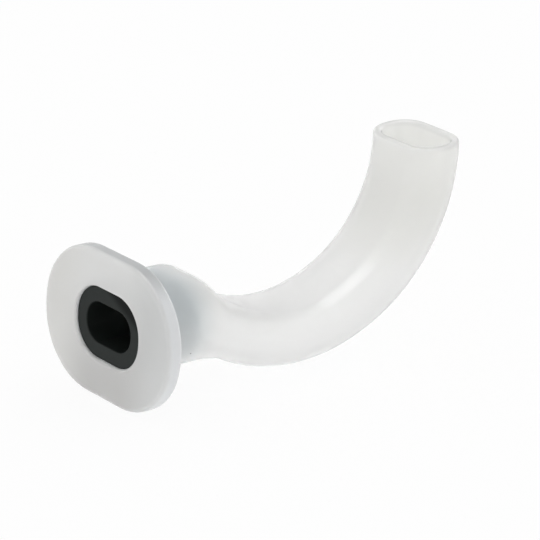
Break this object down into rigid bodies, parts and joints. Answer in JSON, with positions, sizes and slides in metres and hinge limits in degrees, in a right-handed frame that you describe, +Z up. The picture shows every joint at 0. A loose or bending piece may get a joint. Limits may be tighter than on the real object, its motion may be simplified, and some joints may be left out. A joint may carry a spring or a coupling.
{
  "type": "oropharyngeal airway",
  "caption": "Curved flat-oval airway tube in translucent plastic, with an oval flange and a hard black bite insert pressed into its mouth.",
  "frame": {"origin": "middle of the width and of the whole length, on the level of the flange's lower flat", "axes": "+Y from the flange along the bite axis into the mouth, +Z up towards the tip of the tube, X across the width"},
  "size_m": [0.0292, 0.0631, 0.0316],
  "materials": {
    "airway_plastic": "translucent milky white, smooth moulded",
    "insert_plastic": "hard black, satin moulded"
  },
  "bodies": {
    "root": {"airway_body": "airway_plastic", "bite_insert": "insert_plastic"}
  },
  "joints": []
}
